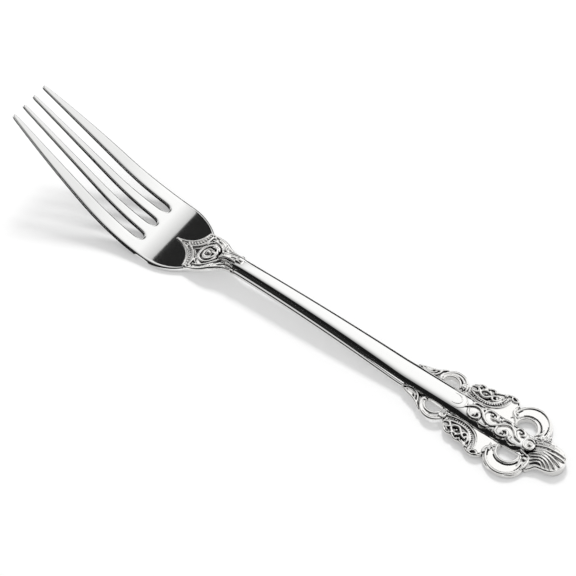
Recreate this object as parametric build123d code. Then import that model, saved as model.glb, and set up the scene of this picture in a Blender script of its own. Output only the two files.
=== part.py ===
from build123d import *
import os
from math import acos, asin, atan2, cos, degrees, radians, sin, sqrt

# Dinner fork with a ribbed stem and an openwork scroll handle, in millimetres and degrees.
# +X runs from the tine tips to the end of the handle, +Y is the right side, +Z is up.
# The origin lies on the table, in the middle of the fork's length and width.

# Lengths along the fork, one after another
tine_length = 50.1
bowl_length = 17.4
neck_length = 13.5
stem_length = 68.0
entry_leaf_length = 7.9
upper_scroll_radius = 4.8
panel_length = 14.8
lower_scroll_radius = 6.9
terminal_length = 9.9

# Side view: straight tines, a round heel that rests on the table, a raised neck, a bowed stem,
# and a handle that slopes down to a small flat under its end
tine_slope = 32.0
heel_radius = 62.0
heel_setback = 13.5
neck_radius = 22.0
neck_angle = 29.3
crown_radius = 22.0
stem_bow_radius = 550.0
handle_blend_radius = 60.0
handle_slope = 1.7
rest_depth = 0.28

# Thicknesses
tine_tip_thickness = 1.3
bowl_thickness = 2.0
plate_thickness = 1.9

# Tines and bowl, in plan
tine_count = 4
head_width = 25.7
widest_setback = 5.4
slot_width = 2.8
slot_pitch = 6.55
tine_tip_width = 1.1
tine_tip_pitch = 4.85
root_land = 2.6
corner_round = 0.45
edge_round = 0.35
# Largest shares of a wall that the rounded corners and edges may take
corner_limit = 0.4
edge_limit = 0.3

# Neck, with its raised crest, rosette, leaf and beads
neck_half_width = 7.8
neck_flare_slope = 0.1
crest_height = 0.3
crest_rim_width = 0.9
crest_rim_height = 0.7
rosette_setback = 4.6
rosette_radius = 3.5
rosette_step = 0.5
rosette_root = 1.1
rosette_tiers = 3
petal_count = 6
petal_share = 0.36
neck_leaf_length = 9.0
neck_leaf_half_width = 1.7
neck_leaf_height = 0.5
bead_radius = 0.8

# Stem bar and its rounded ridge
bar_neck_half_width = 3.1
bar_half_width = 4.6
ridge_neck_half_width = 2.4
ridge_neck_height = 1.8
ridge_half_width = 3.8
ridge_height = 2.3
ridge_stations = 5
ridge_seat = 0.6

# Handle: scroll frames with their holes and rims, relief panels, ridge leaves and the fluted end
entry_leaf_depth = 4.3
upper_hole_radius = 2.9
lower_scroll_offset = 1.7
lower_hole_radius = 3.3
lower_hole_offset = 2.2
rim_radius = 0.7
volute_radius = 1.1
panel_depth = 5.2
panel_flare = 1.4
panel_lobe_radius = 2.3
panel_lobe_relief = 1.15
panel_bead_radius = 1.15
panel_lobes = 3
panel_rim_drop = 1.2
panel_rim_radius = 6.3
panel_rim_sweep = 120.0
ridge_leaf_height = 0.5
ridge_leaf_count = 3
ridge_leaf_half_width = 2.9
ridge_leaf_gap = 0.4
ridge_plain_length = 12.0
ridge_end_setback = 3.4
ridge_boss_radius = 1.6
flute_count = 7
flute_radius = 1.0
flute_fan = 64.0
terminal_half_width = 4.3
terminal_root_half_width = 8.4
terminal_root_depth = 3.4

# Stations along X that follow from the lengths
handle_length = (
    entry_leaf_length + 2 * upper_scroll_radius + panel_length + 2 * lower_scroll_radius + terminal_length
)
overall_length = tine_length + bowl_length + neck_length + stem_length + handle_length
x_tip = -overall_length / 2
x_slot_end = x_tip + tine_length
x_root = x_slot_end - root_land
x_neck = x_slot_end + bowl_length
x_stem = x_neck + neck_length
x_handle = x_stem + stem_length
x_upper = x_handle + entry_leaf_length + upper_scroll_radius
x_panel = x_upper + upper_scroll_radius
x_lower = x_panel + panel_length + lower_scroll_radius
x_shell = x_lower + lower_scroll_radius
x_end = x_shell + terminal_length
x_heel = x_slot_end + heel_setback
x_ridge_end = x_shell - ridge_end_setback

# Space that every cutting prism and side band spans, past the fork on all sides
reach = overall_length

# The handle is drawn flat on the table, then lifted and sloped about its front edge
handle_lift = (x_end - x_handle) * sin(radians(handle_slope)) - rest_depth
handle_seat = Pos(x_handle, 0, handle_lift) * Rot(0, handle_slope, 0) * Pos(-x_handle, 0, 0)


def along(slope):
    """Direction of a side line with that slope, in radians."""
    return Vector(cos(slope), 0, sin(slope))


def above(slope):
    """Upward normal of a side line with that slope."""
    return Vector(-sin(slope), 0, cos(slope))


def slope_past(start, centre, distance):
    """Slope of the line from start that passes the given distance below centre."""
    gap = centre - start
    return atan2(gap.Z, gap.X) - asin(distance / gap.length)


def bow_centre(crown, crown_r, blend, blend_r):
    """Centre of the stem's long bow, which runs on from the crown and into the blend."""
    gap = blend - crown
    near = stem_bow_radius - crown_r
    far = stem_bow_radius + blend_r
    turn = acos((near**2 + gap.length**2 - far**2) / (2 * near * gap.length))
    return crown + along(atan2(gap.Z, gap.X) - turn) * near


def slope_under(point, centre):
    """Slope of an arc about centre where it runs below the given point."""
    return atan2(centre.X - point.X, point.Z - centre.Z)


def side_runs(tip_rise, heel_rise, handle_rise):
    """Runs of a side curve at these heights above the bed, the top of the fork's blank.

    Each run is a start point, an end point, an arc centre or None, and its two slopes.
    """
    slope = radians(tine_slope)
    rise = radians(neck_angle)
    low = Vector(x_heel, 0, bowl_thickness)
    heel = low + Vector(0, 0, heel_radius)
    neck = low + Vector(0, 0, neck_radius)
    crown = neck - above(rise) * (neck_radius + crown_radius)
    fall = -radians(handle_slope)
    blend = Vector(x_handle, 0, handle_lift) + above(fall) * (plate_thickness + handle_blend_radius)

    bed_tip_x = x_tip + tine_tip_thickness * sin(slope)
    heel_start = heel - above(-slope) * heel_radius
    bed_tip = heel_start - along(-slope) * ((heel_start.X - bed_tip_x) / cos(slope))
    tip = bed_tip + above(-slope) * tip_rise

    heel_r = heel_radius - heel_rise
    neck_r = neck_radius - heel_rise
    crown_r = crown_radius + heel_rise
    blend_r = handle_blend_radius - handle_rise
    tine = slope_past(tip, heel, heel_r)
    bow = bow_centre(crown, crown_r, blend, blend_r)
    bow_start = slope_under(crown, bow)
    bow_end = slope_under(blend, bow)
    ends = [
        (tip, None, tine),
        (heel - above(tine) * heel_r, heel, tine),
        (heel - above(0) * heel_r, neck, 0),
        (neck - above(rise) * neck_r, crown, rise),
        (crown + above(bow_start) * crown_r, bow, bow_start),
        (blend - above(bow_end) * blend_r, blend, bow_end),
        (blend - above(fall) * blend_r, None, fall),
        (blend - above(fall) * blend_r + along(fall) * handle_length, None, fall),
    ]
    return [(a[0], b[0], a[1], a[2], b[2]) for a, b in zip(ends, ends[1:])]


def side_edges(*rises):
    """Edges of the side curve at these heights above the bed."""
    edges = []
    for start, end, centre, first, last in side_runs(*rises):
        if centre is None:
            edges.append(Line(start, end))
            continue
        radius = (start - centre).length
        turned = -90 if centre.Z > start.Z else 90
        arc = CenterArc((centre.X, centre.Z), radius, degrees(first) + turned, degrees(last - first))
        edges.append(Plane.XZ * arc)
    return edges


def bed(x):
    """Point on the bed's middle line at x, and the bed's slope there."""
    for start, end, centre, first, last in side_runs(0, 0, 0):
        if x <= end.X:
            break
    if centre is None:
        return start + along(first) * ((x - start.X) / cos(first)), first
    radius = (start - centre).length
    side = -1 if centre.Z > start.Z else 1
    z = centre.Z + side * sqrt(radius**2 - (x - centre.X) ** 2)
    return Vector(x, 0, z), atan2(side * (centre.X - x), abs(z - centre.Z))


def band(low_rises, high_rises):
    """Solid between two side curves, across the whole width."""
    low = side_edges(*low_rises)
    high = side_edges(*high_rises)
    ends = [Line(low[0] @ 0, high[0] @ 0), Line(low[-1] @ 1, high[-1] @ 1)]
    return extrude(make_face(low + high + ends), amount=reach, both=True)


def column(plan):
    """Prism of a plan outline, from under the table to above the tips."""
    return extrude(Pos(0, 0, -reach) * plan, amount=2 * reach, dir=(0, 0, 1))


def between(x_low, x_high):
    """Slab of all space between two stations along X."""
    return Pos((x_low + x_high) / 2, 0, 0) * Box(x_high - x_low, 2 * reach, 2 * reach)


def half_plan(*edges):
    """Plan face of an outline on the right side and its mirror image."""
    half = make_face([*edges, Line(edges[-1] @ 1, edges[0] @ 0)])
    return half + mirror(half, about=Plane.XZ)


def mirrored(solid):
    """The same solid on the other side of the fork."""
    return mirror(solid, about=Plane.XZ)


def head_plan():
    """Plan of the tines and bowl without slots: bowed sides and round shoulders."""
    x_widest = x_slot_end + widest_setback
    half_width = head_width / 2
    tip_half = (tine_count - 1) / 2 * tine_tip_pitch + tine_tip_width / 2
    front = Line((x_tip, 0), (x_tip, tip_half))
    side = TangentArc((x_widest, half_width), (x_tip, tip_half), tangent=(-1, 0))
    shoulder = TangentArc((x_widest, half_width), (x_neck, neck_half_width), tangent=(1, 0))
    back = Line((x_neck, neck_half_width), (x_neck, 0))
    return half_plan(front, side, shoulder, back)


def slot_plan(index):
    """Plan of one slot between two tines, open at the tips and round at its end."""
    place = index - (tine_count - 2) / 2
    tip_half = (tine_tip_pitch - tine_tip_width) / 2
    root_half = slot_width / 2
    root_x = x_slot_end - root_half
    root_y = place * slot_pitch
    tip_y = place * tine_tip_pitch
    sides = Polygon(
        (root_x, root_y - root_half),
        (root_x, root_y + root_half),
        (x_tip, tip_y + tip_half),
        (x_tip, tip_y - tip_half),
        align=None,
    )
    return sides + Pos(root_x, root_y) * Circle(root_half)


def softened(tine):
    """A tine with its tip corners and long edges rounded."""
    corners = tine.edges().filter_by(lambda edge: edge.center().X < x_tip + tine_tip_thickness)
    upright = corners.filter_by(lambda edge: abs((edge % 0.5).Y) < abs((edge % 0.5).Z))
    tine = tine.fillet(min(corner_round, corner_limit * tine_tip_width), upright)
    long = tine.edges().filter_by(lambda edge: edge.bounding_box().size.X > tine_length / 8)
    return tine.fillet(min(edge_round, edge_limit * min(tine_tip_width, tine_tip_thickness)), long)


def head_parts(blank):
    """The tines and the bowl that joins them."""
    plan = head_plan()
    for index in range(tine_count - 1):
        plan -= slot_plan(index)
    head = column(plan) & blank
    tines = (head & between(x_tip - root_land, x_root)).solids().sort_by(Axis.Y)
    parts = {f"tine_{number}": softened(tine) for number, tine in enumerate(tines, 1)}
    parts["bowl"] = head & between(x_root, x_neck)
    return parts


def neck_side():
    """Right edge of the neck in plan, from the bowl to the stem."""
    return Spline(
        (x_neck, neck_half_width),
        (x_stem, bar_neck_half_width),
        tangents=[(1, -neck_flare_slope), (1, 0)],
    )


def crest_plan():
    """Plan of the crest: a point on the bowl between two round bites, then the whole neck."""
    x_point = x_neck - neck_half_width
    bite = TangentArc((x_point, 0), (x_neck, neck_half_width), tangent=(1, 0))
    back = Line((x_stem, bar_neck_half_width), (x_stem, 0))
    return half_plan(bite, neck_side(), back)


def layer(height):
    """Side band from the bed up to a height above it."""
    return band((0, 0, 0), (height, height, height))


def crest_rim():
    """Bold rim along the crest's two round bites, standing on the crest."""
    ring = Circle(neck_half_width + crest_rim_width) - Circle(neck_half_width)
    bites = Locations((x_neck - neck_half_width, neck_half_width), (x_neck - neck_half_width, -neck_half_width))
    strips = [(place * ring) & crest_plan() for place in bites]
    low = (crest_height, crest_height, crest_height)
    high = (crest_rim_height, crest_rim_height, crest_rim_height)
    return column(strips[0] + strips[1]) & band(low, high)


def petals(radius, turn):
    """Plan of a flower: a ring of round petals about a round middle."""
    petal_radius = radius * petal_share
    flower = Circle(radius - petal_radius)
    for petal in PolarLocations(radius - petal_radius, petal_count, start_angle=turn):
        flower += petal * Circle(petal_radius)
    return flower


def rosette(seat):
    """Flower of stepped petal rings, seated on the crest."""
    point, slope = bed(x_neck + rosette_setback)
    face = Plane(point, x_dir=along(slope), z_dir=above(slope))
    flower = None
    for tier in range(rosette_tiers):
        plan = petals(rosette_radius * (1 - tier / rosette_tiers), tier * 180 / petal_count)
        top = crest_height + (tier + 1) * rosette_step
        ring = Pos(0, 0, -rosette_root) * extrude(plan, rosette_root + top)
        flower = ring if flower is None else flower + ring
    return face * flower - seat


def neck_leaf(seat):
    """Pointed leaf that clasps the start of the ridge."""
    x_mid = x_stem
    half_length = neck_leaf_length / 2
    edge = ThreePointArc(
        (x_mid - half_length, 0), (x_mid, neck_leaf_half_width), (x_mid + half_length, 0)
    )
    top = ridge_neck_height + neck_leaf_height
    return (column(half_plan(edge)) & layer(top)) - seat


def neck_parts(blank, stem_ridge, stem_bar):
    """The neck and what is raised on it."""
    back = Line((x_stem, bar_neck_half_width), (x_stem, 0))
    front = Line((x_neck, 0), (x_neck, neck_half_width))
    neck = column(half_plan(front, neck_side(), back)) & blank
    crest = column(crest_plan()) & layer(crest_height)
    edging = crest_rim()
    flower = rosette([neck, crest, edging])
    leaf = neck_leaf([neck, crest, stem_ridge, stem_bar, flower])
    bead_point, slope = bed(x_stem - 2 * bead_radius)
    bead_point += above(slope) * crest_height + Vector(0, bar_neck_half_width - bead_radius, 0)
    bead = Pos(*bead_point) * Sphere(bead_radius) - [neck, crest]
    return {
        "neck": neck,
        "neck_crest": crest,
        "crest_rim": edging,
        "neck_rosette": flower,
        "neck_leaf": leaf,
        "neck_bead_right": bead,
        "neck_bead_left": mirrored(bead),
    }


def ridge_section(point, half_width, height):
    """Cross-section of the ridge at a point of the bed: a round top that reaches into the bed for a clean seat."""
    outline = [
        ThreePointArc((half_width, 0), (0, height), (-half_width, 0)),
        Polyline((-half_width, 0), (-half_width, -ridge_seat), (half_width, -ridge_seat), (half_width, 0)),
    ]
    return Plane(point, x_dir=(0, 1, 0), z_dir=(1, 0, 0)) * make_face(outline)


def stem_parts(blank):
    """The stem's flat bar and the tapered ridge along it."""
    x_past = x_handle + plate_thickness
    plan = half_plan(
        Line((x_stem, 0), (x_stem, bar_neck_half_width)),
        Line((x_stem, bar_neck_half_width), (x_handle, bar_half_width)),
        Line((x_handle, bar_half_width), (x_past, bar_half_width)),
        Line((x_past, bar_half_width), (x_past, 0)),
    )
    sections = []
    for station in range(ridge_stations - 1):
        share = station / (ridge_stations - 1)
        half_width = ridge_neck_half_width + share * (ridge_half_width - ridge_neck_half_width)
        height = ridge_neck_height + share * (ridge_height - ridge_neck_height)
        point, _ = bed(x_stem + share * stem_length)
        sections.append(ridge_section(point, half_width, height))
    sections.append(handle_seat * handle_section(ridge_height))
    handle_zone = handle_seat * between(x_handle, x_handle + reach)
    return {"stem_bar": (column(plan) & blank) - handle_zone, "stem_ridge": loft(sections) - blank}


def handle_section(height):
    """Cross-section of the handle's ridge at its front edge, before the handle is sloped."""
    return ridge_section(Vector(x_handle, 0, plate_thickness), ridge_half_width, height)


def leaf_plan(x_low, x_high, half_width):
    """Plan of a leaf with a point at each end."""
    edge = ThreePointArc((x_low, 0), ((x_low + x_high) / 2, half_width), (x_high, 0))
    return half_plan(edge)


def ridge_parts():
    """The handle's flat bed, the ridge along it, the leaves on the ridge and the boss at its end."""
    bed_length = x_shell - x_handle
    bed_strip = Pos(x_handle + bed_length / 2, 0, plate_thickness / 2) * Box(
        bed_length, 2 * bar_half_width, plate_thickness
    )
    x_nose = x_ridge_end - ridge_half_width
    section = handle_section(ridge_height)
    right_half = section & (Pos(x_handle, reach, 0) * Box(reach, 2 * reach, reach))
    nose = revolve(right_half, Axis((x_handle, 0, 0), (0, 0, 1)), 360)
    ridge = extrude(section, x_nose - x_handle) + Pos(x_nose - x_handle, 0, 0) * nose
    ridge = ridge & between(x_handle, x_shell)
    ridge -= bed_strip

    leaf_zone = extrude(handle_section(ridge_height + ridge_leaf_height), x_nose - x_handle)
    first = x_handle + ridge_plain_length
    step = (x_nose - first) / ridge_leaf_count
    leaves = []
    for number in range(ridge_leaf_count):
        start = first + number * step
        outline = leaf_plan(start, start + step - ridge_leaf_gap, ridge_leaf_half_width)
        leaves.append((column(outline) & leaf_zone) - ridge - bed_strip)
    boss = Pos(x_ridge_end, 0, plate_thickness) * Sphere(ridge_boss_radius)
    return {
        "handle_bed": bed_strip,
        "handle_ridge": ridge,
        "ridge_leaves": Compound(leaves),
        "ridge_boss": boss - [ridge, bed_strip],
    }


def rim(centre, radius, start, sweep):
    """Round rim along an arc on top of the plate, in plan angles."""
    ring = Torus(radius, rim_radius, major_angle=sweep, align=None)
    return Pos(centre[0], centre[1], plate_thickness) * Rot(0, 0, start) * ring


def bead_at(x, y, radius):
    """Round bead half sunk in the plate."""
    return Pos(x, y, plate_thickness) * Sphere(radius)


def side_plan():
    """Plan of the right side plate: entry leaf, two scroll discs and the panel between them."""
    inner = bar_half_width
    panel_end = inner + panel_depth + panel_flare
    leaf = Polygon(
        (x_handle, inner),
        (x_upper, inner + entry_leaf_depth),
        (x_upper, inner),
        align=None,
    )
    panel = Polygon(
        (x_upper, inner),
        (x_upper, inner + panel_depth - panel_lobe_relief),
        (x_lower, panel_end - panel_lobe_relief),
        (x_lower, inner),
        align=None,
    )
    plan = leaf + panel
    plan += Pos(x_upper, inner) * Circle(upper_scroll_radius)
    plan += Pos(x_lower, inner + lower_scroll_offset) * Circle(lower_scroll_radius)
    for lobe in range(panel_lobes):
        share = (lobe + 0.5) / panel_lobes
        lobe_y = inner + panel_depth + share * panel_flare - panel_lobe_radius
        plan += Pos(x_panel + share * panel_length, lobe_y) * Circle(panel_lobe_radius)
    plan -= Pos(x_upper, inner) * Circle(upper_hole_radius)
    plan -= Pos(x_lower, inner + lower_hole_offset) * Circle(lower_hole_radius)
    plan &= Pos((x_handle + x_end) / 2, inner + reach / 2) * Rectangle(handle_length * 2, reach)
    return plan


def side_parts(volute_side, keep_clear):
    """The right side's leaf, scroll frames and panel, with rims and beads, cut clear of the middle."""
    plate = extrude(side_plan(), plate_thickness, dir=(0, 0, 1))
    inner = bar_half_width
    upper_r = upper_scroll_radius - rim_radius
    lower_r = lower_scroll_radius - rim_radius
    lower_y = inner + lower_scroll_offset
    turn = degrees(asin(lower_scroll_offset / lower_r))
    hole_r = lower_hole_radius + rim_radius
    hole_turn = degrees(asin(lower_hole_offset / hole_r))

    upper = plate & between(x_upper - upper_scroll_radius, x_panel)
    upper += rim((x_upper, inner), upper_r, 0, 180)
    upper += rim((x_upper, inner), upper_hole_radius + rim_radius, 0, 180)
    upper_volute = upper_scroll_radius - volute_radius
    upper += bead_at(x_upper + volute_side * upper_volute, inner, volute_radius)

    lower = plate & between(x_panel + panel_length, x_shell)
    lower += rim((x_lower, lower_y), lower_r, -turn, 180 + 2 * turn)
    lower += rim((x_lower, inner + lower_hole_offset), hole_r, -hole_turn, 180 + 2 * hole_turn)
    lower_volute = lower_scroll_radius - volute_radius
    lower += bead_at(x_lower + volute_side * lower_volute, inner, volute_radius)

    panel = plate & between(x_panel, x_panel + panel_length)
    panel_mid = x_panel + panel_length / 2
    rim_centre = (panel_mid, inner + panel_rim_drop + panel_rim_radius)
    panel += rim(rim_centre, panel_rim_radius, 270 - panel_rim_sweep / 2, panel_rim_sweep)
    for lobe in range(panel_lobes):
        share = (lobe + 0.5) / panel_lobes
        lobe_y = inner + panel_depth + share * panel_flare - panel_lobe_radius
        panel += bead_at(x_panel + share * panel_length, lobe_y, panel_bead_radius)

    leaf = plate & between(x_handle, x_upper - upper_scroll_radius)
    found = {"entry_leaf": leaf, "upper_scroll": upper, "side_panel": panel, "lower_scroll": lower}
    return {name: solid - keep_clear for name, solid in found.items()}


def terminal(keep_clear):
    """Fluted shell at the handle's end, nested between the two lower scrolls."""
    x_root_edge = x_shell - terminal_root_depth
    waist = (x_end - terminal_half_width, terminal_half_width)
    root = (x_shell, terminal_root_half_width)
    plan = half_plan(
        Line((x_root_edge, 0), (x_root_edge, terminal_root_half_width)),
        Line((x_root_edge, terminal_root_half_width), root),
        TangentArc(waist, root, tangent=(-1, 0)),
        TangentArc(waist, (x_end, 0), tangent=(1, 0)),
    )
    shell = extrude(plan, plate_thickness, dir=(0, 0, 1))
    trim = column(plan)
    for number in range(flute_count):
        angle = flute_fan * (number / (flute_count - 1) - 0.5)
        flute = Rot(0, 90, 0) * Cylinder(flute_radius, 2 * (x_end - x_ridge_end))
        shell += (Pos(x_ridge_end, 0, plate_thickness) * Rot(0, 0, angle) * flute) & trim
    return shell - keep_clear


def build():
    """Every piece of the fork, by name."""
    blank = band((-tine_tip_thickness, -bowl_thickness, -plate_thickness), (0, 0, 0))
    parts = head_parts(blank)
    stem = stem_parts(blank)
    parts.update(stem)
    parts.update(neck_parts(blank, stem["stem_ridge"], stem["stem_bar"]))
    handle = ridge_parts()
    core = [handle["handle_bed"], handle["handle_ridge"], handle["ridge_boss"]]
    for name, solid in side_parts(1, core).items():
        handle[f"{name}_right"] = solid
    for name, solid in side_parts(-1, core).items():
        handle[f"{name}_left"] = mirrored(solid)
    handle["terminal_shell"] = terminal([*core, handle["lower_scroll_right"], handle["lower_scroll_left"]])
    under_table = Pos(0, 0, -reach) * Box(4 * reach, 2 * reach, 2 * reach)
    for name, solid in handle.items():
        parts[name] = handle_seat * solid
    parts["terminal_shell"] -= under_table
    return parts


os.makedirs("parts", exist_ok=True)
for name, solid in build().items():
    export_step(solid, f"parts/{name}.step")
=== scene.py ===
from math import acos, atan2, cos, hypot, pi, radians, sin

import bpy
import numpy as np
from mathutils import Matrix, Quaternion, Vector


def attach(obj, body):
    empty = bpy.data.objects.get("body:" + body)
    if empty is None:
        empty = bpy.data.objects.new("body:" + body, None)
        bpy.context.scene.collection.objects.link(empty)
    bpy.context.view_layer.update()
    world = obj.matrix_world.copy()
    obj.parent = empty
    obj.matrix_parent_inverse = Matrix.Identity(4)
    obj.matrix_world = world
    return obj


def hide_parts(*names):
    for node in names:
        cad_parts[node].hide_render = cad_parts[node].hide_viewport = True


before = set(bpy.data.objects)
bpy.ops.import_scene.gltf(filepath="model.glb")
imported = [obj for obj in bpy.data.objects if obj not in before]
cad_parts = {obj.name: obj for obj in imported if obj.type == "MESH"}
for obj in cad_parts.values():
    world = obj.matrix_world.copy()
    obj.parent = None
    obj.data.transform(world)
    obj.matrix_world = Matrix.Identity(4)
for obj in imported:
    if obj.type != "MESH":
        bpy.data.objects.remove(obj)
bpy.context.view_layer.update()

bl_info = {
    "name": "Dinner fork with a scroll handle",
    "version": (1, 0, 0),
    "blender": (4, 5, 0),
    "location": "3D View > Sidebar > Fork",
    "description": "Dresses the fork's frame in mirror steel, with a carved neck and an openwork handle",
    "category": "Add Mesh",
}


# Sizes and colours that a user would change


def length(name, default, description):
    """A size in metres, given in millimetres."""
    return bpy.props.FloatProperty(
        name=name, description=description, default=default / 1000, unit="LENGTH", precision=5
    )


def angle(name, default, description):
    """An angle, given in degrees."""
    return bpy.props.FloatProperty(
        name=name, description=description, default=radians(default), subtype="ANGLE"
    )


def colour(name, default, description):
    """A colour, given as an sRGB hex value."""
    return bpy.props.FloatVectorProperty(
        name=name,
        description=description,
        default=linear(default),
        subtype="COLOR",
        size=3,
        min=0,
        max=1,
    )


def linear(code):
    """Linear red, green and blue of an sRGB hex value."""
    parts = [int(code[place : place + 2], 16) / 255 for place in (1, 3, 5)]
    return tuple(
        part / 12.92 if part <= 0.04045 else ((part + 0.055) / 1.055) ** 2.4 for part in parts
    )


class ForkSides(bpy.types.PropertyGroup):
    """Side view of the fork's upper face."""

    tine_slope: angle("Tine slope", 32, "Rise of the straight tines")
    neck_angle: angle("Neck angle", 29.3, "Steepest rise of the neck")
    heel_station: length("Heel station", -38.9, "Where the bowl rests on the table, along the fork")
    handle_station: length("Handle station", 46.5, "Where the straight handle starts, along the fork")
    heel_radius: length("Heel radius", 62, "Hollow of the bowl, seen from the side")
    neck_radius: length("Neck radius", 22, "Hollow between bowl and neck")
    crown_radius: length("Crown radius", 22, "Round top of the neck")
    bow_radius: length("Stem bow radius", 550, "Long bow of the stem")
    blend_radius: length("Handle blend radius", 60, "Hollow where the stem meets the handle")
    handle_slope: angle("Handle slope", 1.7, "Fall of the straight handle")
    handle_lift: length("Handle lift", 1.381, "Height of the handle's underside at its front edge")
    tip_thickness: length("Tip thickness", 1.3, "Thickness of a tine at its tip")
    bowl_thickness: length("Bowl thickness", 2.0, "Thickness of the bowl")
    plate_thickness: length("Plate thickness", 1.9, "Thickness of the handle's plate")


class ForkPlan(bpy.types.PropertyGroup):
    """Plan of the fork's blank and ridge."""

    head_width: length("Head width", 25.7, "Greatest width of the bowl")
    slot_width: length("Slot width", 2.8, "Width of a slot at its round end")
    slot_pitch: length("Slot pitch", 6.55, "Distance between slots at their round ends")
    tip_pitch: length("Tip pitch", 4.85, "Distance between the tine tips")
    tip_width: length("Tip width", 1.1, "Width of a tine at its tip")
    neck_half_width: length("Neck half width", 7.8, "Half the width at the front of the neck")
    stem_half_width: length("Stem half width", 3.1, "Half the width of the stem next to the neck")
    handle_half_width: length("Handle half width", 4.6, "Half the width of the stem at the handle")
    ridge_start_half_width: length("Ridge start half width", 2.3, "Half the ridge's width at the neck")
    ridge_half_width: length("Ridge half width", 3.8, "Half the ridge's width on the handle")
    ridge_start_height: length("Ridge start height", 1.9, "Height of the ridge at the neck")
    ridge_height: length("Ridge height", 2.3, "Height of the ridge on the handle")


class ForkRelief(bpy.types.PropertyGroup):
    """Carving of the neck and handle."""

    grain: length("Carving grain", 0.14, "Finest step of the carved surfaces")
    softness: bpy.props.IntProperty(
        name="Carving softness",
        description="Rounds of smoothing over the carving",
        default=3,
        min=0,
        max=20,
    )


class ForkFinish(bpy.types.PropertyGroup):
    """Colours of the steel, of the painted shade in its hollows, and of the stage."""

    steel: colour("Steel", "#EFEFEE", "Polished steel")
    # Painted shade: the colour that polished steel darkens to where it meets other steel
    steel_painted_shade: colour("Steel in hollows", "#4A4A49", "Polished steel where it meets other steel")
    carving: colour("Carved steel", "#F1F0EE", "Raised parts of the carving")
    # Painted shade: the colour that the carving's hollows darken to
    carving_painted_shade: colour("Carving hollows", "#171615", "Darkened bottom of the carving")
    floor: colour("Floor", "#F4F4F4", "Pale studio floor")


# Modelling helpers: pieces are modelled in millimetres and then brought to metres


def mm(size):
    """Millimetres of a size in metres."""
    return size * 1000


def clear_selection():
    """Nothing is selected and nothing is in edit mode."""
    if bpy.context.object and bpy.context.object.mode != "OBJECT":
        bpy.ops.object.mode_set(mode="OBJECT")
    bpy.ops.object.select_all(action="DESELECT")


def pick(piece):
    """Only this object is selected and active."""
    clear_selection()
    piece.select_set(True)
    bpy.context.view_layer.objects.active = piece


def apply_modifier(piece, kind, **settings):
    """Adds a modifier with these settings and applies it."""
    modifier = piece.modifiers.new(kind.title(), kind)
    for name, value in settings.items():
        setattr(modifier, name, value)
    pick(piece)
    bpy.ops.object.modifier_apply(modifier=modifier.name)


def points_of(piece):
    """The mesh's points as an array of rows."""
    flat = np.zeros(len(piece.data.vertices) * 3)
    piece.data.vertices.foreach_get("co", flat)
    return flat.reshape(-1, 3)


def set_points(piece, points):
    """Moves the mesh's points to these places."""
    piece.data.vertices.foreach_set("co", points.ravel())
    piece.data.update()


def edit_all(piece, change, **settings):
    """Runs an edit mode operator on the whole mesh."""
    pick(piece)
    bpy.ops.object.mode_set(mode="EDIT")
    bpy.ops.mesh.select_all(action="SELECT")
    change(**settings)
    bpy.ops.object.mode_set(mode="OBJECT")


def grid_places(piece, rows, lines):
    """Row and line number of each point of a grid that is one unit across."""
    grid = points_of(piece) + 0.5
    return np.rint(grid[:, 0] * rows).astype(int), np.rint(grid[:, 1] * lines).astype(int)


def joined(pieces):
    """One object from several."""
    clear_selection()
    for piece in pieces:
        piece.select_set(True)
    bpy.context.view_layer.objects.active = pieces[0]
    if len(pieces) > 1:
        bpy.ops.object.join()
    return bpy.context.object


def finish_piece(piece, name, material, nodes):
    """Brings a piece to metres at the origin, with its finish and its place in the frame."""
    pick(piece)
    piece.name = name
    piece.scale = (0.001, 0.001, 0.001)
    bpy.ops.object.transform_apply(location=True, rotation=True, scale=True)
    edit_all(piece, bpy.ops.mesh.normals_make_consistent, inside=False)
    bpy.ops.object.shade_smooth()
    piece.data.materials.clear()
    piece.data.materials.append(material)
    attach(piece, "root")
    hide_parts(*nodes)


# Stations along the fork in millimetres, as the frame has them
TIP = -101.8
SLOT_CENTRE = -53.8
WIDEST = -47.0
NECK = -35.0
STEM = -21.5
HANDLE = 46.5
BED_END = 93.0

# Cross lines of the blank: at the tips, measured from there, and over the bowl and neck
TIP_ROWS = [0, 0.35, 0.95, 2.2]
BOWL_ROWS = [-51.1, -49.2, -47, -45.2, -43.4, -41.6, -39.8, -38, -36.6, -35.5, -34.6, -33.4]

# Faces across a tine, across a slot, and across both
TINE_FACES = 3
SLOT_FACES = 4
BAY = TINE_FACES + SLOT_FACES

# Plan of the blank: where the head's curve runs out past the tips, the hollow of the neck's sides,
# how late the stem widens, and how far the bar draws in under the handle's carving
TIP_OVERRUN = 0.7
NECK_HOLLOW = 1.35
STEM_FLARE = 1.4
HANDLE_WAIST = 0.6
WAIST_START = 1
WAIST_RUN = 6

# Rounding of the blank: share of a tine's width in its first rows, size of a slot's round end, which
# subdivision draws in, and sharpness of the edges
TIP_ROUNDING = {0: 0.5, 1: 0.86}
SLOT_END_LENGTH = 1.1
SLOT_END_WIDTH = 1.06
EDGE_CREASE = 0.27

# Flanges beside the ridge: their fall, the share of the ridge's half width at which it starts, and the
# lengths over which it comes in at the neck and goes out on the handle
FLANGE_SLOPE = 0.19
FLANGE_START = 0.7
FLANGE_IN = 3
FLANGE_OUT = 4

# Length of the ridge: its ends, the run of each end's rounding, and how late it widens
RIDGE_START = -27
RIDGE_END = 90
RIDGE_RAMP = 8
RIDGE_NOSE = 4.5
RIDGE_FLARE = 1.5

# Section of the ridge: how square it is, its crown, its depth in the bar, and its walls' top and foot
# as shares of its half width. The foot spreads where the handle starts
RIDGE_POWER = 5
RIDGE_CROWN = 0.26
RIDGE_SEAT = 0.5
RIDGE_TOP = 0.95
RIDGE_FOOT = 1.05
FOOT_SPREAD = 0.08
SPREAD_START = 50
SPREAD_RUN = 12

# Bed of the ridge's carving: its depth and its ends
SUNK_DEPTH = 0.4
SUNK_START = 66.8
SUNK_END = 88.2


# Shape of the blank: the side view is one chain of lines and arcs


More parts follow.
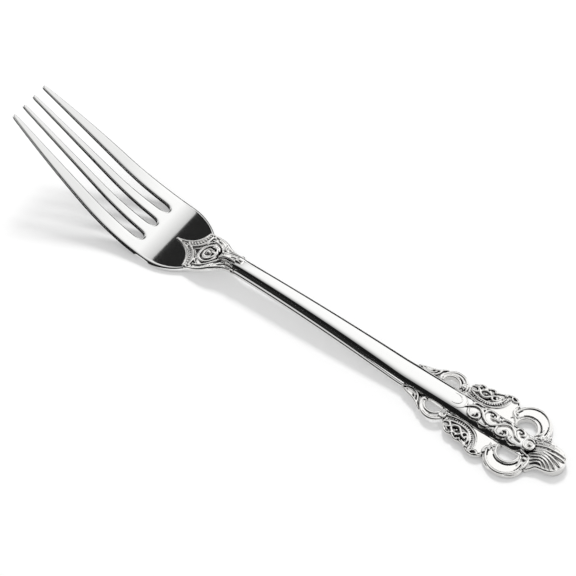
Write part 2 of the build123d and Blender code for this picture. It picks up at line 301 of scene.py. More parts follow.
def side_arcs():
    """Runs of the upper face: end station, arc centre, radius and side, from the bowl to the handle."""
    sides = bpy.context.scene.fork_sides
    heel_x = mm(sides.heel_station)
    handle_x = mm(sides.handle_station)
    fall = sides.handle_slope
    bowl = mm(sides.bowl_thickness)
    plate = mm(sides.plate_thickness)
    heel_r, neck_r = mm(sides.heel_radius), mm(sides.neck_radius)
    crown_r, bow_r, blend_r = mm(sides.crown_radius), mm(sides.bow_radius), mm(sides.blend_radius)
    rise = sides.neck_angle
    crown = (
        heel_x + (neck_r + crown_r) * sin(rise),
        bowl + neck_r - (neck_r + crown_r) * cos(rise),
    )
    blend = (
        handle_x + (plate + blend_r) * sin(fall),
        mm(sides.handle_lift) + (plate + blend_r) * cos(fall),
    )
    gap = hypot(blend[0] - crown[0], blend[1] - crown[1])
    near, far = bow_r - crown_r, bow_r + blend_r
    heading = atan2(blend[1] - crown[1], blend[0] - crown[0])
    heading -= acos((near**2 + gap**2 - far**2) / (2 * near * gap))
    bow = (crown[0] + near * cos(heading), crown[1] + near * sin(heading))
    bow_start = bow[0] + bow_r * (crown[0] - bow[0]) / near
    bow_end = bow[0] + bow_r * (blend[0] - bow[0]) / far
    return [
        (heel_x, (heel_x, bowl + heel_r), heel_r, -1),
        (heel_x + neck_r * sin(rise), (heel_x, bowl + neck_r), neck_r, -1),
        (bow_start, crown, crown_r, 1),
        (bow_end, bow, bow_r, 1),
        (blend[0] - blend_r * sin(fall), blend, blend_r, -1),
    ]


def bed_height(x):
    """Height of the fork's upper face at stations along X."""
    sides = bpy.context.scene.fork_sides
    arcs = side_arcs()
    slope = sides.tine_slope
    heel_x, (_, heel_z), heel_r, _ = arcs[0]
    straight_end = heel_x - heel_r * sin(slope)
    straight = heel_z - heel_r * cos(slope) + (straight_end - x) * np.tan(slope)
    tests, values = [x < straight_end], [straight]
    for end, centre, radius, side in arcs:
        tests.append(x < end)
        values.append(centre[1] + side * np.sqrt(np.maximum(radius**2 - (x - centre[0]) ** 2, 0)))
    end, centre, radius, _ = arcs[-1]
    handle = centre[1] - radius * cos(sides.handle_slope) - (x - end) * np.tan(sides.handle_slope)
    return np.select(tests, values, handle)


def wrap(points):
    """Bends flat work onto the fork's upper face: its height becomes height above that face."""
    x, y, z = points.T
    step = 0.01
    slope = np.arctan2(bed_height(x + step) - bed_height(x - step), 2 * step)
    return np.stack([x - np.sin(slope) * z, y, bed_height(x) + np.cos(slope) * z], axis=1)


def ridge_size(x):
    """Half width and height of the ridge at a station along X."""
    plan = bpy.context.scene.fork_plan
    share = np.clip((x - STEM) / (HANDLE - STEM), 0, 1)
    half = mm(plan.ridge_start_half_width)
    half = half + (mm(plan.ridge_half_width) - half) * share**RIDGE_FLARE
    height = mm(plan.ridge_start_height)
    height = height + (mm(plan.ridge_height) - height) * share
    nose = np.clip((RIDGE_END - x) / RIDGE_NOSE, 0, 1)
    start = np.clip((x - RIDGE_START) / RIDGE_RAMP, 0, 1)
    end = np.sqrt(np.maximum(1 - (1 - nose) ** 2, 0)) * np.sqrt(np.maximum(1 - (1 - start) ** 2, 0))
    return half * end, height * end


def ridge_rise(x, y):
    """Height of the ridge above the bed at a point in plan."""
    half, height = ridge_size(x)
    across = np.clip(np.abs(y) / np.maximum(half, 0.001), 0, 1)
    return height * ((1 - across**RIDGE_POWER) ** (1 / RIDGE_POWER) - RIDGE_CROWN * across**2)


def half_width(x):
    """Half the width of the blank at a station along X."""
    plan = bpy.context.scene.fork_plan
    widest = mm(plan.head_width) / 2
    neck = mm(plan.neck_half_width)
    stem = mm(plan.stem_half_width)
    handle = mm(plan.handle_half_width)
    if x < NECK:
        span = TIP - TIP_OVERRUN - WIDEST if x < WIDEST else NECK - WIDEST
        end = 1.5 * mm(plan.tip_pitch) + mm(plan.tip_width) / 2 if x < WIDEST else neck
        radius = (span**2 + (widest - end) ** 2) / (2 * (widest - end))
        return widest - radius + (radius**2 - (x - WIDEST) ** 2) ** 0.5
    if x < STEM:
        share = (x - NECK) / (STEM - NECK)
        ease = share * share * (3 - 2 * share)
        return neck + (stem - neck) * ease - NECK_HOLLOW * share * (1 - share) ** 2
    share = min((x - STEM) / (HANDLE - STEM), 1)
    waist = HANDLE_WAIST * np.clip((x - HANDLE - WAIST_START) / WAIST_RUN, 0, 1)
    return stem + (handle - stem) * share**STEM_FLARE - waist


def plan_lines(x):
    """Y of the long lines of the blank at x, across tines and slots in turn."""
    plan = bpy.context.scene.fork_plan
    along = min((x - TIP) / (SLOT_CENTRE - TIP), 1)
    pitch = mm(plan.tip_pitch) + (mm(plan.slot_pitch) - mm(plan.tip_pitch)) * along
    tip_gap = mm(plan.tip_pitch) - mm(plan.tip_width)
    gap = tip_gap + (mm(plan.slot_width) - tip_gap) * along
    edge = half_width(min(x, SLOT_CENTRE))
    limits = [-edge]
    for place in (-1, 0, 1):
        limits += [place * pitch - gap / 2, place * pitch + gap / 2]
    limits.append(edge)
    lines = []
    for number, (low, high) in enumerate(zip(limits, limits[1:])):
        faces = SLOT_FACES if number % 2 else TINE_FACES
        lines += [low + (high - low) * step / faces for step in range(faces)]
    lines.append(edge)
    return [line * half_width(x) / edge for line in lines]


def blank_stations():
    """Stations of the blank's cross lines."""
    stations = [TIP + row for row in TIP_ROWS]
    stations += list(np.linspace(TIP + 4.5, SLOT_CENTRE, 20))
    stations += BOWL_ROWS
    stations += list(np.linspace(-31.8, STEM, 7))
    stations += list(np.linspace(STEM + 2.4, HANDLE, 27))
    return stations + list(np.linspace(HANDLE + 4.5, BED_END, 10))


def build_blank():
    """Tines, bowl, neck and bar as one struck plate: a grid with slots, thickened and rounded."""
    sides = bpy.context.scene.fork_sides
    plan = bpy.context.scene.fork_plan
    stations = blank_stations()
    rows, lines = len(stations) - 1, len(plan_lines(0.0)) - 1
    clear_selection()
    bpy.ops.mesh.primitive_grid_add(x_subdivisions=rows, y_subdivisions=lines, size=1)
    piece = bpy.context.object
    along, across = grid_places(piece, rows, lines)
    slot_row = min(range(rows), key=lambda row: abs(stations[row] - SLOT_CENTRE))

    bpy.ops.object.mode_set(mode="EDIT")
    bpy.ops.mesh.select_mode(type="FACE")
    bpy.ops.mesh.select_all(action="DESELECT")
    bpy.ops.object.mode_set(mode="OBJECT")
    for face in piece.data.polygons:
        corners = list(face.vertices)
        in_slot = min(across[corners]) % BAY >= TINE_FACES and max(along[corners]) <= slot_row
        face.select = bool(in_slot)
    bpy.ops.object.mode_set(mode="EDIT")
    bpy.ops.mesh.delete(type="FACE")
    bpy.ops.object.mode_set(mode="OBJECT")

    along, across = grid_places(piece, rows, lines)
    places = np.zeros((len(along), 3))
    thickness = piece.vertex_groups.new(name="thickness")
    tip, bowl, plate = mm(sides.tip_thickness), mm(sides.bowl_thickness), mm(sides.plate_thickness)
    full = max(tip, bowl, plate)
    heel = mm(sides.heel_station)
    for number, (row, line) in enumerate(zip(along, across)):
        x = stations[row]
        ys = plan_lines(x)
        y = ys[line]
        tine, step = divmod(line, BAY)
        first = tine * BAY
        if row in TIP_ROUNDING and step <= TINE_FACES:
            middle = (ys[first] + ys[first + TINE_FACES]) / 2
            y = middle + (y - middle) * TIP_ROUNDING[row]
        if row == slot_row and step > TINE_FACES:
            radius = mm(plan.slot_width) / 2
            middle = (ys[first + TINE_FACES] + ys[first + BAY]) / 2
            turn = (step - TINE_FACES - SLOT_FACES / 2) * pi / SLOT_FACES
            x += radius * cos(turn) * SLOT_END_LENGTH
            y = middle + radius * sin(turn) * SLOT_END_WIDTH
        places[number] = (x, y, 0)
        depth = np.interp(x, [TIP, heel, HANDLE], [tip, bowl, plate])
        thickness.add([number], float(depth / full), "REPLACE")
    set_points(piece, places)
    apply_modifier(
        piece,
        "SOLIDIFY",
        thickness=full,
        offset=-1,
        vertex_group="thickness",
        edge_crease_outer=EDGE_CREASE,
        edge_crease_inner=EDGE_CREASE,
    )
    apply_modifier(piece, "SUBSURF", levels=2, render_levels=2)
    points = points_of(piece)
    x, y, z = points.T
    fall = FLANGE_SLOPE * np.clip(np.abs(y) - FLANGE_START * ridge_size(x)[0], 0, None)
    fade = np.clip((x - STEM) / FLANGE_IN, 0, 1) * np.clip((HANDLE + FLANGE_OUT - x) / FLANGE_OUT, 0, 1)
    points[:, 2] = z - fall * fade * np.clip(1 + z / plate, 0, 1)
    set_points(piece, wrap(points))
    return piece


def build_ridge():
    """The rounded ridge on the stem and handle: a closed skin of cross-sections along the fork."""
    stations = np.concatenate(
        [np.linspace(RIDGE_START, -20, 16), np.linspace(-19, 84, 100), np.linspace(84.5, RIDGE_END, 16)]
    )
    corner = 0.5 ** (1 / RIDGE_POWER)
    wall = np.arcsin(np.linspace(0, corner, 12) ** (RIDGE_POWER / 2))
    top = np.arccos(np.linspace(corner, 0, 12) ** (RIDGE_POWER / 2))
    around = np.concatenate([wall, top[1:], pi - top[-2::-1], pi - wall[-2::-1]])
    rows, turns = len(stations) - 1, len(around) + 1
    clear_selection()
    bpy.ops.mesh.primitive_grid_add(x_subdivisions=rows, y_subdivisions=turns, size=1)
    piece = bpy.context.object
    row, turn = grid_places(piece, rows, turns)
    x = stations[row]
    half, height = ridge_size(x)
    sweep = around[np.clip(turn, 0, len(around) - 1)]
    y = half * np.sign(np.cos(sweep)) * np.abs(np.cos(sweep)) ** (2 / RIDGE_POWER)
    z = height * np.abs(np.sin(sweep)) ** (2 / RIDGE_POWER)
    seat = np.minimum(RIDGE_SEAT, height)
    share = z / np.maximum(height, 0.001)
    sunk = SUNK_DEPTH * np.clip(x - SUNK_START, 0, 1) * np.clip(SUNK_END - x, 0, 1)
    z = z - RIDGE_CROWN * height * share * np.cos(sweep) ** 2 - sunk * share
    foot = RIDGE_FOOT + FOOT_SPREAD * np.clip((x - SPREAD_START) / SPREAD_RUN, 0, 1)
    y = y * (foot + (RIDGE_TOP - foot) * share)
    y = np.where(turn == turns, half, y)
    z = np.where((turn == 0) | (turn >= turns - 1), -seat, z)
    set_points(piece, wrap(np.stack([x, y, z], axis=1)))
    edit_all(piece, bpy.ops.mesh.remove_doubles, threshold=0.0005)
    return piece


# Carving: plates, strokes and beads are drawn flat, fused, softened and bent onto the fork

# Steps of a curve between two knots, and the width of a stroke's ends as a share of its middle
CURVE_STEPS = 8
STROKE_END = 0.5

# Heights on the handle's sides: the sunk field, the root of a raised land below it, and the lift of the
# back, which alternates so that neighbours don't share a face
FIELD = -0.45
LAND_ROOT = 0.3
BACK_LIFT = 0.1
BACK_STAGGER = 0.06

# Dome of the shell: its height, where it starts, the run of its rise, its half width, and the depth
# below the upper face at which it begins
DOME_HEIGHT = 2.0
DOME_START = 90
DOME_RUN = 5
DOME_HALF_WIDTH = 6.8
DOME_DEPTH = 1.8

# Belly of the shell: how fast its underside curves up, the flat half width that rests on the table, how
# far out it curves, and where it starts and over what run
BELLY_CURVE = 0.11
BELLY_FLAT = 1.5
BELLY_REACH = 3
BELLY_START = 93
BELLY_RUN = 3


def add_plate(outlines, low, high):
    """Flat plate between two heights, from a smooth outline and the outlines of its holes."""
    bpy.ops.curve.primitive_bezier_curve_add(location=(0, 0, (low + high) / 2))
    plate = bpy.context.object
    shape = plate.data
    shape.splines.clear()
    shape.dimensions = "2D"
    shape.fill_mode = "BOTH"
    shape.extrude = (high - low) / 2
    shape.resolution_u = CURVE_STEPS
    for outline in outlines:
        add_line(shape, [(x, y, 0, 1) for x, y in outline], closed=True)
    bpy.ops.object.convert(target="MESH")
    return bpy.context.object


def add_line(shape, knots, closed=False):
    """Smooth line through knots, each a place and a width."""
    line = shape.splines.new("BEZIER")
    line.bezier_points.add(len(knots) - 1)
    line.use_cyclic_u = closed
    for point, (x, y, z, width) in zip(line.bezier_points, knots):
        point.co = (x, y, z)
        point.radius = width
        point.handle_left_type = "AUTO"
        point.handle_right_type = "AUTO"


def add_strokes(strokes, side, top):
    """Round strokes along smooth lines, thinner at their ends.

    A stroke is a radius, a lift and its places.
    """
    bpy.ops.curve.primitive_bezier_curve_add()
    strands = bpy.context.object
    shape = strands.data
    shape.splines.clear()
    shape.dimensions = "3D"
    shape.bevel_depth = 1
    shape.bevel_resolution = 3
    shape.resolution_u = CURVE_STEPS
    shape.use_fill_caps = True
    for radius, lift, places in strokes:
        last = len(places) - 1
        knots = []
        for number, (x, y) in enumerate(places):
            swell = sin(pi * number / last) ** 0.6
            width = radius * (STROKE_END + (1 - STROKE_END) * swell)
            knots.append((x, side * y, top + lift, width))
        add_line(shape, knots)
    bpy.ops.object.convert(target="MESH")
    return bpy.context.object


def add_beads(beads, side, top):
    """Round beads half sunk in what carries them. A bead is its place and radius."""
    balls = []
    for x, y, radius in beads:
        bpy.ops.mesh.primitive_ico_sphere_add(
            subdivisions=3, radius=radius, location=(x, side * y, top), enter_editmode=False
        )
        balls.append(bpy.context.object)
    return balls


def arc(centre, radius, start, end, count):
    """Places along a round arc in plan, in degrees."""
    turns = np.radians(np.linspace(start, end, count))
    return [(centre[0] + radius * cos(turn), centre[1] + radius * sin(turn)) for turn in turns]


def ring(centre, radius):
    """Closed round outline in plan."""
    return arc(centre, radius, 0, 330, 12)


def beads_along(places, count, radius):
    """Equal beads along a line of places."""
    spots = np.array(places)
    runs = np.concatenate([[0], np.cumsum(np.hypot(*np.diff(spots, axis=0).T))])
    steps = np.linspace(0, runs[-1], count)
    xs, ys = (np.interp(steps, runs, column) for column in spots.T)
    return [(x, y, radius) for x, y in zip(xs, ys)]


def lay_on_ridge(points):
    """Lays flat work on the fork and over its ridge."""
    x, y, z = points.T
    return wrap(np.stack([x, y, z + ridge_rise(x, y)], axis=1))


def lay_on_dome(points):
    """Lays flat work on the handle's end, with its upper side a dome and its underside a belly."""
    x, y, z = points.T
    rise = np.clip((x - DOME_START) / DOME_RUN, 0, 1)
    dome = DOME_HEIGHT * rise * np.clip(1 - (y / DOME_HALF_WIDTH) ** 2, 0, 1)
    laid = wrap(np.stack([x, y, z + dome * np.clip((z + DOME_DEPTH) / DOME_DEPTH, 0, 1)], axis=1))
    curve = BELLY_CURVE * np.clip(np.abs(y) - BELLY_FLAT, 0, BELLY_REACH) ** 2
    belly = curve * np.clip((x - BELLY_START) / BELLY_RUN, 0, 1)
    laid[:, 2] = np.maximum(laid[:, 2], belly)
    return laid


def carve(pieces, lay):
    """Fuses drawn shapes into one carved piece and softens it, then lays it on its surface."""
    relief = bpy.context.scene.fork_relief
    piece = joined(pieces)
    pick(piece)
    bpy.ops.object.transform_apply(location=True, rotation=True, scale=True)
    apply_modifier(piece, "REMESH", mode="VOXEL", voxel_size=mm(relief.grain))
    apply_modifier(piece, "SMOOTH", factor=0.5, iterations=relief.softness)
    set_points(piece, lay(points_of(piece)))
    return piece


def carved_side(side, outlines, lands, strokes, beads, lay=wrap, field=FIELD, under=BACK_LIFT):
    """A carved piece of the handle's plate: a sunk field, plain raised lands, strokes and beads.

    Side is 1 on the right and -1 on the left. Under is the lift of the back.
    """
    plate = mm(bpy.context.scene.fork_sides.plate_thickness)
    clear_selection()
    turned = [[(x, side * y) for x, y in outline] for outline in outlines]
    pieces = [add_plate(turned, under - plate, field)]
    for land in lands:
        pieces.append(add_plate([[(x, side * y) for x, y in land]], field - LAND_ROOT, 0))
    pieces.append(add_strokes(strokes, side, 0))
    pieces += add_beads(beads, side, 0)
    return carve(pieces, lay)


# Entry leaf: a fan of nested ribs that swells out of the stem
LEAF_OUTLINE = [
    (46.2, 3.4), (46.8, 4.6), (49.0, 5.3), (51.0, 5.8), (53.0, 6.6), (54.5, 7.7), (55.7, 8.5),
    (56.2, 7.0), (55.6, 5.0), (55.8, 3.4),
]
LEAF_STROKES = [
    (0.38, 0.0, [
        (46.6, 4.6), (48.0, 4.0), (49.6, 3.7), (51.2, 3.8), (52.6, 4.6), (53.4, 5.8), (53.8, 7.0),
    ]),
    (0.32, -0.1, [(47.6, 4.9), (49.0, 4.5), (50.5, 4.5), (51.8, 5.1), (52.6, 6.1)]),
    (0.30, -0.1, [(48.6, 5.2), (49.8, 5.1), (50.9, 5.4), (51.6, 6.0)]),
    (0.36, -0.1, [(46.6, 4.7), (49.0, 5.4), (51.0, 5.9), (53.0, 6.7), (54.5, 7.8), (55.4, 8.4)]),
    (0.46, 0.0, [(54.3, 3.8), (54.5, 5.2), (54.8, 6.4), (55.6, 7.6)]),
]

# Upper scroll: three round rims about a hole, with a curl at each end
UPPER_OUTLINE = [
    (54.6, 3.4), (54.6, 5.4), (55.3, 7.0), (56.4, 8.3), (58.0, 9.1), (60.0, 9.4), (62.0, 8.9),
    (63.3, 7.8), (64.0, 6.2), (64.0, 3.4),
]
UPPER_HOLE = (58.5, 4.3)
UPPER_HOLE_OUTLINE = ring(UPPER_HOLE, 2.8)
UPPER_STROKES = [
    (0.50, -0.05, arc(UPPER_HOLE, 3.15, 192, 12, 11)),
    (0.34, -0.15, arc((58.8, 4.45), 3.95, 186, 6, 11)),
    (0.52, -0.1, arc((59.1, 4.7), 4.5, 182, -4, 11)),
    (0.46, 0.15, [(63.5, 5.0), (63.4, 6.3), (62.6, 6.9), (61.8, 6.4), (61.9, 5.5)]),
    (0.44, 0.1, [(54.9, 6.4), (54.7, 5.0), (55.2, 4.0), (55.9, 4.3)]),
]
UPPER_BEADS = [(55.4, 4.6, 0.65), (62.4, 6.0, 0.65)]

# Side panel: crossing bands in a sunk field, pearls along an arc, a plain land and a scalloped edge
PANEL_OUTLINE = [
    (63.0, 3.4), (63.2, 6.4), (64.0, 8.0), (65.2, 9.3), (66.8, 10.2), (68.6, 10.0), (70.2, 10.7),
    (72.0, 10.5), (73.6, 11.1), (75.2, 11.9), (77.0, 12.2), (78.8, 11.6), (80.2, 10.2), (81.6, 8.2),
    (82.6, 6.0), (82.6, 3.4),
]
PANEL_LAND = [
    (63.2, 3.4), (63.4, 5.2), (64.6, 4.9), (66.5, 4.5), (70.0, 4.3), (73.1, 5.1), (75.3, 6.6),
    (76.5, 8.7), (76.9, 10.2), (77.6, 11.2), (79.3, 10.4), (80.2, 8.8), (81.2, 7.0), (82.4, 5.8),
    (82.4, 3.4),
]
PANEL_PEARLS = [
    (64.8, 5.7), (67.0, 5.15), (70.0, 5.0), (72.5, 5.7), (74.5, 7.2), (75.6, 9.0), (76.0, 10.6),
]
PANEL_STROKES = [
    (0.34, 0.0, [
        (64.0, 5.2), (66.5, 4.5), (70.0, 4.3), (73.1, 5.1), (75.3, 6.6), (76.5, 8.7), (76.9, 10.6),
    ]),
    (0.40, -0.1, [
        (64.6, 6.6), (66.6, 6.0), (69.0, 5.7), (71.2, 5.9), (73.1, 6.8), (74.4, 8.4), (75.0, 10.4),
    ]),
    (0.44, 0.0, [(64.2, 7.5), (65.5, 6.9), (66.8, 7.5), (67.7, 8.6), (69.0, 9.2), (70.3, 8.8)]),
    (0.44, 0.2, [
        (65.5, 8.9), (66.8, 8.1), (68.0, 7.0), (69.5, 6.8), (70.6, 7.7), (71.7, 8.8), (73.1, 9.3),
    ]),
    (0.42, 0.1, [(69.6, 9.8), (70.9, 8.5), (71.9, 7.4), (73.0, 7.6), (73.7, 8.8), (73.9, 10.0)]),
    (0.36, 0.0, [(64.5, 8.3), (65.6, 8.9), (66.9, 9.5)]),
    (0.38, 0.1, [(76.2, 12.0), (76.8, 11.0), (78.0, 10.8), (78.6, 11.4), (77.8, 11.9)]),
    (0.36, -0.15, [
        (64.0, 8.1), (65.2, 9.3), (66.8, 10.2), (68.6, 10.0), (70.2, 10.7), (72.0, 10.5), (73.6, 11.1),
    ]),
    (0.36, -0.15, [(73.4, 11.0), (75.2, 11.9), (77.0, 12.2), (78.8, 11.6), (80.0, 10.2)]),
    (0.40, 0.1, [(79.6, 9.8), (79.5, 8.2), (80.2, 7.0), (81.4, 6.6), (82.0, 7.4)]),
]
PANEL_BEADS = [
    (65.6, 8.7, 0.45), (68.2, 9.6, 0.5), (71.4, 10.1, 0.5), (74.6, 11.0, 0.55), (69.2, 8.0, 0.42),
    (72.7, 8.5, 0.4), (66.6, 8.0, 0.4), (80.7, 7.7, 0.6),
]
PANEL_BEADS += beads_along(PANEL_PEARLS, 20, 0.24)

# Lower scroll: a broad crescent between rims about a hole, with a curl at the handle's end
LOWER_OUTLINE = [
    (79.6, 3.4), (79.4, 7.6), (79.7, 9.4), (80.6, 11.0), (82.5, 12.5), (85.5, 13.15), (88.5, 12.8),
    (91.0, 11.4), (92.4, 9.6), (92.8, 7.8), (92.6, 5.8), (92.4, 3.4),
]
LOWER_HOLE = (85.8, 5.1)
LOWER_HOLE_OUTLINE = ring(LOWER_HOLE, 3.2)
LOWER_STROKES = [
    (0.46, -0.05, arc(LOWER_HOLE, 3.6, 196, -16, 15)),
    (0.46, -0.05, arc((86.1, 6.9), 5.95, 190, -22, 17)),
    (0.46, 0.25, [(89.8, 3.9), (90.8, 2.9), (92.2, 3.3), (92.7, 5.0), (92.6, 6.8), (92.1, 8.2)]),
    (0.36, 0.05, [(89.6, 4.8), (90.5, 6.0), (90.6, 7.6)]),
    (0.40, 0.1, [(82.3, 4.2), (81.6, 5.6), (80.4, 6.2), (79.8, 5.4)]),
]
LOWER_LAND = arc((86.1, 6.9), 5.3, 188, -20, 15) + arc((85.9, 5.2), 4.6, -14, 194, 15)
LOWER_BEADS = [(91.2, 4.4, 0.9)] + beads_along(arc(LOWER_HOLE, 4.2, 172, 8, 15), 26, 0.2)

# Terminal: a domed shell, with nested arches on its left and broad rays on its right
SHELL_FIELD = -0.12
SHELL_TIP = (102.5, 0)
SHELL_HALF = [
    (89.0, 4.6), (91.4, 6.4), (93.2, 7.3), (94.3, 6.2), (95.4, 5.1), (97.0, 4.6), (98.8, 4.4),
    (100.4, 3.7), (101.6, 2.6), (102.3, 1.2),
]
SHELL_STROKES = [
    (0.66, -0.05, [(90.8, 0.4), (94.0, 0.8), (97.8, 1.1), (100.6, 1.1), (101.9, 0.9)]),
    (0.68, -0.05, [(91.0, 1.6), (94.0, 2.2), (97.4, 2.6), (100.0, 2.6), (101.2, 2.3)]),
    (0.58, -0.1, [(91.2, 2.7), (93.8, 3.4), (96.6, 3.8), (99.0, 3.7), (100.2, 3.4)]),
    (0.46, -0.1, [(91.6, 3.9), (93.2, 4.6), (95.0, 4.7), (96.8, 4.5)]),
    (0.46, 0.0, [(92.4, 7.0), (92.6, 5.8), (93.8, 5.3), (95.0, 5.0)]),
    (0.46, 0.0, [(91.0, -0.7), (93.4, -0.2), (96.4, 0.0), (99.4, -0.4), (101.7, -1.2)]),
    (0.44, 0.0, [(91.4, -1.9), (93.4, -1.1), (96.2, -0.9), (98.8, -1.5), (100.9, -2.7)]),
    (0.42, 0.0, [(91.8, -3.0), (93.6, -2.1), (96.2, -1.8), (98.4, -2.5), (99.8, -3.7)]),
    (0.38, 0.0, [(92.6, -4.0), (94.2, -3.0), (96.2, -2.7), (97.8, -3.4), (98.7, -4.3)]),
    (0.36, 0.0, [(93.4, -4.8), (94.8, -3.8), (96.2, -3.6), (97.3, -4.4)]),
    (0.40, -0.2, [
        (93.0, -7.2), (94.3, -6.1), (95.4, -5.0), (97.0, -4.6), (98.8, -4.3), (100.3, -3.7),
        (101.6, -2.6),
    ]),
    (0.40, -0.2, [
        (93.4, 7.1), (95.4, 5.0), (97.0, 4.6), (98.8, 4.3), (100.3, 3.7), (101.6, 2.6), (102.2, 0.8),
    ]),
]
SHELL_BEADS = [(92.4, -6.2, 0.5), (93.0, 6.4, 0.5)]

# Ridge carving: nested loops, a running vine with curls and beads, and a round shield at the end
RIDGE_STROKES = [
    (0.27, 0.0, [
        (59.4, 2.2), (62.0, 2.7), (65.0, 2.5), (66.8, 1.3), (67.1, -0.2), (66.4, -1.7), (64.2, -2.5),
        (60.4, -2.0),
    ]),
    (0.25, 0.0, [(61.4, 1.5), (63.6, 1.7), (65.2, 0.9), (65.4, -0.3), (64.6, -1.3), (62.2, -1.6)]),
    (0.52, 0.0, [
        (67.2, -0.6), (68.6, 0.7), (70.8, 1.5), (72.8, 0.6), (74.4, -1.0), (76.4, -1.8), (78.4, -0.9),
    ]),
    (0.52, 0.0, [
        (77.4, -1.5), (78.6, -0.7), (80.2, 0.9), (82.2, 1.7), (84.2, 0.8), (85.6, -0.6), (87.4, -1.0),
    ]),
    (0.54, 0.05, [(68.4, -0.4), (69.2, -2.1), (71.2, -2.7), (72.7, -1.7), (72.0, -0.5), (70.9, -0.9)]),
    (0.54, 0.05, [(73.4, 0.6), (73.8, 2.4), (75.8, 3.0), (77.4, 2.0), (76.9, 0.6), (75.7, 0.8)]),
    (0.54, 0.05, [(79.0, -0.9), (79.2, -2.7), (81.3, -3.1), (82.9, -2.1), (82.3, -0.6), (81.0, -1.0)]),
    (0.52, 0.0, [(84.2, 1.4), (84.8, 2.8), (86.5, 2.8), (87.5, 1.6), (86.6, 0.6)]),
    (0.56, -0.05, [(69.0, 1.3), (68.9, 2.3), (70.1, 2.9), (71.6, 2.8)]),
    (0.5, -0.05, [(72.0, 1.3), (72.6, 2.2), (72.4, 3.0)]),
    (0.56, -0.05, [(76.8, -2.2), (75.8, -3.0), (74.2, -3.1), (73.2, -2.6)]),
    (0.56, -0.05, [(82.8, 2.1), (81.8, 3.0), (80.2, 3.0), (79.2, 2.4), (79.0, 1.4)]),
    (0.56, -0.05, [(84.2, -1.0), (84.0, -2.4), (85.4, -3.0), (86.8, -2.4)]),
]
RIDGE_SKIN_LEVELS = (-0.9, -0.32)
RIDGE_SKIN = [
    (66.4, 0.0), (67.4, 1.8), (69.4, 2.9), (73.0, 3.2), (80.0, 3.3), (86.0, 3.2), (88.0, 2.4),
    (88.4, 0.0), (88.0, -2.4), (86.0, -3.2), (80.0, -3.3), (73.0, -3.2), (69.4, -2.7), (67.4, -1.6),
]
RIDGE_BEADS = [
    (71.0, -1.5, 0.55), (75.6, 1.7, 0.55), (81.2, -1.9, 0.55), (86.0, 1.6, 0.5), (78.2, 0.9, 0.45),
    (77.8, -2.6, 0.4),
]
SHIELD = (89.9, 0.1)
SHIELD_RADIUS = 1.9
SHIELD_LEVELS = (-0.5, 1.4)
SHIELD_BEAD = (90.2, 0.1, 0.8)
SHIELD_BEAD_LEVEL = 1.3
SHIELD_STROKES = [
    (0.42, 1.5, arc(SHIELD, 1.8, 40, 340, 13)),
    (0.40, 0.6, [(91.8, 3.4), (90.2, 3.0), (88.6, 2.4), (87.6, 1.4)]),
    (0.40, 0.6, [(91.6, -3.2), (90.2, -2.9), (88.6, -2.4), (87.6, -1.4)]),
]

# Crest on the neck: two round rims with pearls between, a flower, and leaves towards the stem
CREST_LEVELS = (-0.6, 0.08)
CREST_STROKE_LEVEL = 0.15
CREST_BEAD_LEVEL = 0.2
CREST_HALF = [
    (-44.2, 0.0), (-42.0, 0.5), (-40.0, 1.3), (-38.2, 2.6), (-37.0, 4.2), (-36.3, 6.0), (-35.9, 7.9),
    (-34.4, 7.9), (-32.0, 7.3), (-29.6, 6.7), (-27.4, 5.6), (-25.4, 4.4), (-23.4, 3.6), (-21.0, 3.2),
    (-18.8, 3.2), (-17.6, 1.6),
]
CREST_STROKES = [
    (0.40, 0.1, [
        (-44.0, 0.1), (-42.0, 0.4), (-40.0, 1.2), (-38.2, 2.5), (-37.0, 4.1), (-36.3, 5.9), (-36.0, 7.7),
    ]),
    (0.46, 0.3, [(-39.4, 0.0), (-37.6, 0.5), (-35.9, 1.7), (-34.8, 3.3), (-34.3, 5.2), (-34.4, 6.9)]),
    (0.50, 0.15, [
        (-34.8, 7.6), (-32.0, 7.1), (-29.6, 6.4), (-27.4, 5.3), (-25.4, 4.1), (-23.2, 3.3), (-20.6, 3.0),
    ]),
    (0.42, 0.3, [(-33.6, 5.6), (-31.6, 5.3), (-29.6, 4.6), (-27.8, 3.4), (-26.6, 2.2), (-25.6, 1.4)]),
    (0.38, 0.25, [(-31.6, 6.3), (-29.6, 5.7), (-27.8, 4.6), (-26.4, 3.4), (-25.0, 2.4)]),
    (0.36, 0.3, [(-28.6, 5.6), (-27.2, 4.9), (-26.4, 4.0), (-25.4, 3.6)]),
    (0.52, 0.35, [(-26.9, 2.2), (-25.6, 1.2), (-23.8, 0.7), (-21.8, 0.7), (-19.6, 1.1)]),
    (0.44, 0.25, [(-25.6, 3.2), (-24.0, 2.2), (-22.2, 1.8), (-20.4, 2.1)]),
    (0.36, 0.3, [(-34.0, 3.0), (-33.4, 4.3), (-32.2, 4.9)]),
    (0.40, 0.3, [(-24.4, 0.0), (-22.0, 0.1), (-19.4, 0.3), (-18.0, 0.4)]),
]
CREST_PEARLS = [(-39.6, 0.7), (-37.9, 1.6), (-36.6, 2.9), (-35.7, 4.5), (-35.3, 6.4)]
CREST_BEADS = beads_along(CREST_PEARLS, 9, 0.36)
CREST_BEADS += [
    (-35.2, 7.3, 0.6), (-24.0, 3.4, 0.55), (-19.8, 2.9, 0.75), (-22.2, 2.9, 0.45), (-33.6, 6.6, 0.5),
]
FLOWER = (-30.6, 0.0)
FLOWER_LEVEL = 0.5
FLOWER_BEAD = (*FLOWER, 0.9)
FLOWER_BEAD_LEVEL = 1.1
FLOWER_STROKES = [
    (0.46, 0.1, arc(FLOWER, 3.45, 30, 350, 15)),
    (0.46, 0.3, arc((-30.4, 0.25), 2.5, 190, 470, 11)),
    (0.44, 0.5, arc((-30.7, -0.1), 1.6, 60, 340, 9)),
]


# Finishes


